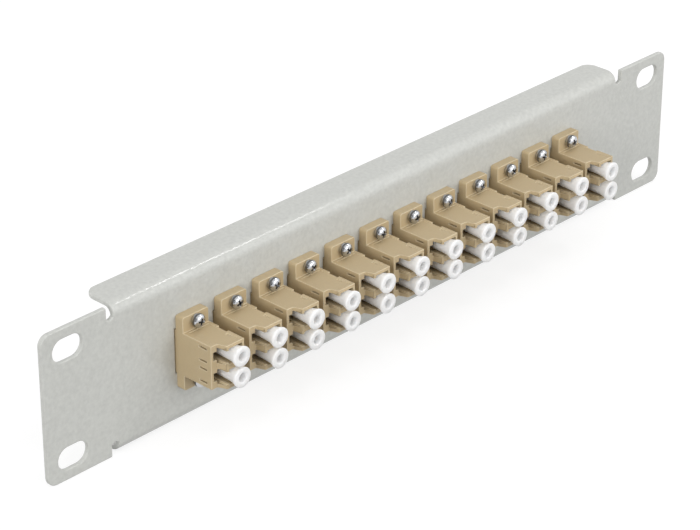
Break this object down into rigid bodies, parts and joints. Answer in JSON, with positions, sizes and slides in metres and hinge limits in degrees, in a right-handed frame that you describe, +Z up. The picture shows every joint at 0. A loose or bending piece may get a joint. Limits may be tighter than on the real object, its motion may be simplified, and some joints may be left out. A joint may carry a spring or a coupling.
{
  "type": "fibre patch panel",
  "caption": "Folded steel rack panel, ten inch wide, with a row of duplex fibre adapters screwed to its face and a dust cap in every front port.",
  "frame": {"origin": "centre of the four rack slots on the panel's rear face, which meets the rack posts", "axes": "+X along the panel to the right seen from the front, +Y to the back, into the rack, +Z up"},
  "size_m": [0.254, 0.032, 0.0444],
  "materials": {
    "powder_coat": "fine textured light grey powder coat",
    "adapter_plastic": "moulded beige plastic",
    "cap_plastic": "soft translucent white plastic",
    "screw_chrome": "bright plated steel",
    "nut_steel": "zinc plated steel",
    "sleeve_ceramic": "polished white ceramic"
  },
  "bodies": {
    "panel_body": {"panel": "powder_coat", "front_shell_01": "adapter_plastic", "front_shell_02": "adapter_plastic", "front_shell_03": "adapter_plastic", "front_shell_04": "adapter_plastic", "front_shell_05": "adapter_plastic", "front_shell_06": "adapter_plastic", "front_shell_07": "adapter_plastic", "front_shell_08": "adapter_plastic", "front_shell_09": "adapter_plastic", "front_shell_10": "adapter_plastic", "front_shell_11": "adapter_plastic", "front_shell_12": "adapter_plastic", "rear_shell_01": "adapter_plastic", "rear_shell_02": "adapter_plastic", "rear_shell_03": "adapter_plastic", "rear_shell_04": "adapter_plastic", "rear_shell_05": "adapter_plastic", "rear_shell_06": "adapter_plastic", "rear_shell_07": "adapter_plastic", "rear_shell_08": "adapter_plastic", "rear_shell_09": "adapter_plastic", "rear_shell_10": "adapter_plastic", "rear_shell_11": "adapter_plastic", "rear_shell_12": "adapter_plastic", "flange_screws": "screw_chrome", "flange_nuts": "nut_steel", "alignment_sleeves": "sleeve_ceramic"},
    "dust_cap_01_top": {"dust_cap_01_top": "cap_plastic"},
    "dust_cap_01_bottom": {"dust_cap_01_bottom": "cap_plastic"},
    "dust_cap_02_top": {"dust_cap_02_top": "cap_plastic"},
    "dust_cap_02_bottom": {"dust_cap_02_bottom": "cap_plastic"},
    "dust_cap_03_top": {"dust_cap_03_top": "cap_plastic"},
    "dust_cap_03_bottom": {"dust_cap_03_bottom": "cap_plastic"},
    "dust_cap_04_top": {"dust_cap_04_top": "cap_plastic"},
    "dust_cap_04_bottom": {"dust_cap_04_bottom": "cap_plastic"},
    "dust_cap_05_top": {"dust_cap_05_top": "cap_plastic"},
    "dust_cap_05_bottom": {"dust_cap_05_bottom": "cap_plastic"},
    "dust_cap_06_top": {"dust_cap_06_top": "cap_plastic"},
    "dust_cap_06_bottom": {"dust_cap_06_bottom": "cap_plastic"},
    "dust_cap_07_top": {"dust_cap_07_top": "cap_plastic"},
    "dust_cap_07_bottom": {"dust_cap_07_bottom": "cap_plastic"},
    "dust_cap_08_top": {"dust_cap_08_top": "cap_plastic"},
    "dust_cap_08_bottom": {"dust_cap_08_bottom": "cap_plastic"},
    "dust_cap_09_top": {"dust_cap_09_top": "cap_plastic"},
    "dust_cap_09_bottom": {"dust_cap_09_bottom": "cap_plastic"},
    "dust_cap_10_top": {"dust_cap_10_top": "cap_plastic"},
    "dust_cap_10_bottom": {"dust_cap_10_bottom": "cap_plastic"},
    "dust_cap_11_top": {"dust_cap_11_top": "cap_plastic"},
    "dust_cap_11_bottom": {"dust_cap_11_bottom": "cap_plastic"},
    "dust_cap_12_top": {"dust_cap_12_top": "cap_plastic"},
    "dust_cap_12_bottom": {"dust_cap_12_bottom": "cap_plastic"}
  },
  "joints": [
    {"name": "pull_dust_cap_01_top", "type": "slide", "parent": "panel_body", "child": "dust_cap_01_top", "axis": [0, -1, 0], "range_m": [0, 0.015]},
    {"name": "pull_dust_cap_01_bottom", "type": "slide", "parent": "panel_body", "child": "dust_cap_01_bottom", "axis": [0, -1, 0], "range_m": [0, 0.015]},
    {"name": "pull_dust_cap_02_top", "type": "slide", "parent": "panel_body", "child": "dust_cap_02_top", "axis": [0, -1, 0], "range_m": [0, 0.015]},
    {"name": "pull_dust_cap_02_bottom", "type": "slide", "parent": "panel_body", "child": "dust_cap_02_bottom", "axis": [0, -1, 0], "range_m": [0, 0.015]},
    {"name": "pull_dust_cap_03_top", "type": "slide", "parent": "panel_body", "child": "dust_cap_03_top", "axis": [0, -1, 0], "range_m": [0, 0.015]},
    {"name": "pull_dust_cap_03_bottom", "type": "slide", "parent": "panel_body", "child": "dust_cap_03_bottom", "axis": [0, -1, 0], "range_m": [0, 0.015]},
    {"name": "pull_dust_cap_04_top", "type": "slide", "parent": "panel_body", "child": "dust_cap_04_top", "axis": [0, -1, 0], "range_m": [0, 0.015]},
    {"name": "pull_dust_cap_04_bottom", "type": "slide", "parent": "panel_body", "child": "dust_cap_04_bottom", "axis": [0, -1, 0], "range_m": [0, 0.015]},
    {"name": "pull_dust_cap_05_top", "type": "slide", "parent": "panel_body", "child": "dust_cap_05_top", "axis": [0, -1, 0], "range_m": [0, 0.015]},
    {"name": "pull_dust_cap_05_bottom", "type": "slide", "parent": "panel_body", "child": "dust_cap_05_bottom", "axis": [0, -1, 0], "range_m": [0, 0.015]},
    {"name": "pull_dust_cap_06_top", "type": "slide", "parent": "panel_body", "child": "dust_cap_06_top", "axis": [0, -1, 0], "range_m": [0, 0.015]},
    {"name": "pull_dust_cap_06_bottom", "type": "slide", "parent": "panel_body", "child": "dust_cap_06_bottom", "axis": [0, -1, 0], "range_m": [0, 0.015]},
    {"name": "pull_dust_cap_07_top", "type": "slide", "parent": "panel_body", "child": "dust_cap_07_top", "axis": [0, -1, 0], "range_m": [0, 0.015]},
    {"name": "pull_dust_cap_07_bottom", "type": "slide", "parent": "panel_body", "child": "dust_cap_07_bottom", "axis": [0, -1, 0], "range_m": [0, 0.015]},
    {"name": "pull_dust_cap_08_top", "type": "slide", "parent": "panel_body", "child": "dust_cap_08_top", "axis": [0, -1, 0], "range_m": [0, 0.015]},
    {"name": "pull_dust_cap_08_bottom", "type": "slide", "parent": "panel_body", "child": "dust_cap_08_bottom", "axis": [0, -1, 0], "range_m": [0, 0.015]},
    {"name": "pull_dust_cap_09_top", "type": "slide", "parent": "panel_body", "child": "dust_cap_09_top", "axis": [0, -1, 0], "range_m": [0, 0.015]},
    {"name": "pull_dust_cap_09_bottom", "type": "slide", "parent": "panel_body", "child": "dust_cap_09_bottom", "axis": [0, -1, 0], "range_m": [0, 0.015]},
    {"name": "pull_dust_cap_10_top", "type": "slide", "parent": "panel_body", "child": "dust_cap_10_top", "axis": [0, -1, 0], "range_m": [0, 0.015]},
    {"name": "pull_dust_cap_10_bottom", "type": "slide", "parent": "panel_body", "child": "dust_cap_10_bottom", "axis": [0, -1, 0], "range_m": [0, 0.015]},
    {"name": "pull_dust_cap_11_top", "type": "slide", "parent": "panel_body", "child": "dust_cap_11_top", "axis": [0, -1, 0], "range_m": [0, 0.015]},
    {"name": "pull_dust_cap_11_bottom", "type": "slide", "parent": "panel_body", "child": "dust_cap_11_bottom", "axis": [0, -1, 0], "range_m": [0, 0.015]},
    {"name": "pull_dust_cap_12_top", "type": "slide", "parent": "panel_body", "child": "dust_cap_12_top", "axis": [0, -1, 0], "range_m": [0, 0.015]},
    {"name": "pull_dust_cap_12_bottom", "type": "slide", "parent": "panel_body", "child": "dust_cap_12_bottom", "axis": [0, -1, 0], "range_m": [0, 0.015]}
  ]
}
